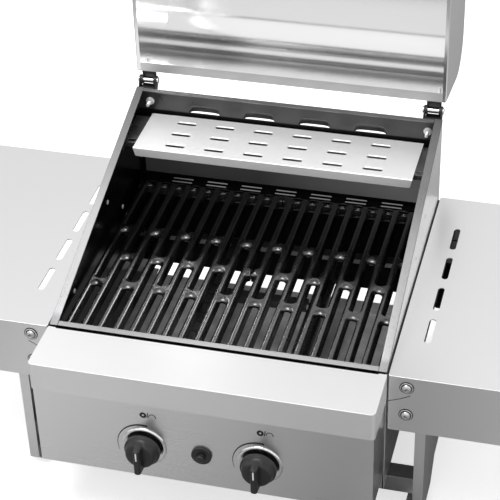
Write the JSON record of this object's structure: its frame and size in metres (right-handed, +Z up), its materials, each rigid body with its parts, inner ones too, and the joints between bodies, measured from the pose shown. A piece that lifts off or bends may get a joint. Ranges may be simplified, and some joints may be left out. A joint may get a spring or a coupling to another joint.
{
  "type": "countertop gas grill",
  "caption": "Countertop gas grill with an open hood, cast grates, a pierced warming rack, a sloped firebox rim and side shelves",
  "frame": {"origin": "middle of the footprint's box, on the surface that the rubber feet stand on", "axes": "+X to the right for a cook who faces the grill, +Y to the back, where the hood is hinged, +Z up"},
  "size_m": [0.8946, 0.6578, 0.8107],
  "materials": {
    "brushed_steel": "brushed",
    "firebox_steel": "satin",
    "black_enamel": "gloss",
    "cast_iron": "enamelled",
    "bright_steel": "polished",
    "brass": "machined",
    "black_plastic": "matte",
    "rubber": "matte",
    "ceramic": "glazed"
  },
  "bodies": {
    "grill": {"firebox_side_left": "firebox_steel", "firebox_side_right": "firebox_steel", "firebox_front": "black_enamel", "firebox_back": "black_enamel", "base_side_left": "brushed_steel", "base_side_right": "brushed_steel", "base_rail_front": "brushed_steel", "base_rail_rear": "brushed_steel", "foot_front_left": "rubber", "foot_front_right": "rubber", "foot_rear_left": "rubber", "foot_rear_right": "rubber", "console_cover": "brushed_steel", "control_panel": "brushed_steel", "burner_left": "firebox_steel", "burner_right": "firebox_steel", "burner_crossover": "firebox_steel", "burner_rest": "firebox_steel", "valve_left": "brass", "valve_right": "brass", "gas_manifold": "firebox_steel", "gas_inlet": "brass", "knob_bezel_left": "bright_steel", "knob_bezel_right": "bright_steel", "igniter_body": "black_plastic", "igniter_electrode": "ceramic", "grate_rail_front": "firebox_steel", "grate_rail_rear": "firebox_steel", "rear_baffle": "firebox_steel", "cooking_grate_left": "cast_iron", "cooking_grate_right": "cast_iron", "warming_rack": "brushed_steel", "rack_bracket_left": "black_enamel", "rack_bracket_right": "black_enamel", "shelf_left": "brushed_steel", "shelf_right": "brushed_steel", "shelf_screw_upper_left": "bright_steel", "shelf_screw_upper_right": "bright_steel", "shelf_screw_lower_left": "bright_steel", "shelf_screw_lower_right": "bright_steel", "hinge_mount_left": "black_enamel", "hinge_mount_right": "black_enamel", "hinge_pin_left": "bright_steel", "hinge_pin_right": "bright_steel", "hinge_bolt_left": "bright_steel", "hinge_bolt_right": "bright_steel"},
    "hood": {"hood_shell": "brushed_steel", "hood_end_left": "brushed_steel", "hood_end_right": "brushed_steel", "hood_handle": "brushed_steel", "hinge_leaf_left": "black_enamel", "hinge_leaf_right": "black_enamel", "hood_bolt_left": "bright_steel", "hood_bolt_right": "bright_steel"},
    "stem_left": {"knob_stem_left": "bright_steel"},
    "stem_right": {"knob_stem_right": "bright_steel"},
    "knob_left": {"knob_left": "black_plastic"},
    "knob_right": {"knob_right": "black_plastic"},
    "igniter": {"igniter_button": "black_plastic"},
    "tray": {"grease_tray": "brushed_steel"}
  },
  "joints": [
    {"name": "hood_hinge", "type": "hinge", "parent": "grill", "child": "hood", "pos_m": [0, 0.17795, 0.371], "axis": [1, 0, 0], "range_deg": [0, 108.1]},
    {"name": "tray_slide", "type": "slide", "parent": "grill", "child": "tray", "axis": [0, -1, 0], "range_m": [0, 0.25]},
    {"name": "igniter_push", "type": "slide", "parent": "grill", "child": "igniter", "axis": [0, 1, 0], "range_m": [0, 0.006], "stiffness_N_per_m": 600},
    {"name": "knob_left_push", "type": "slide", "parent": "grill", "child": "stem_left", "axis": [0, 1, 0], "range_m": [0, 0.003], "stiffness_N_per_m": 900},
    {"name": "knob_left_turn", "type": "hinge", "parent": "stem_left", "child": "knob_left", "pos_m": [-0.074, -0.31105, 0.13], "axis": [0, -1, 0], "range_deg": [0, 180]},
    {"name": "knob_right_push", "type": "slide", "parent": "grill", "child": "stem_right", "axis": [0, 1, 0], "range_m": [0, 0.003], "stiffness_N_per_m": 900},
    {"name": "knob_right_turn", "type": "hinge", "parent": "stem_right", "child": "knob_right", "pos_m": [0.074, -0.31105, 0.13], "axis": [0, -1, 0], "range_deg": [0, 180]}
  ]
}
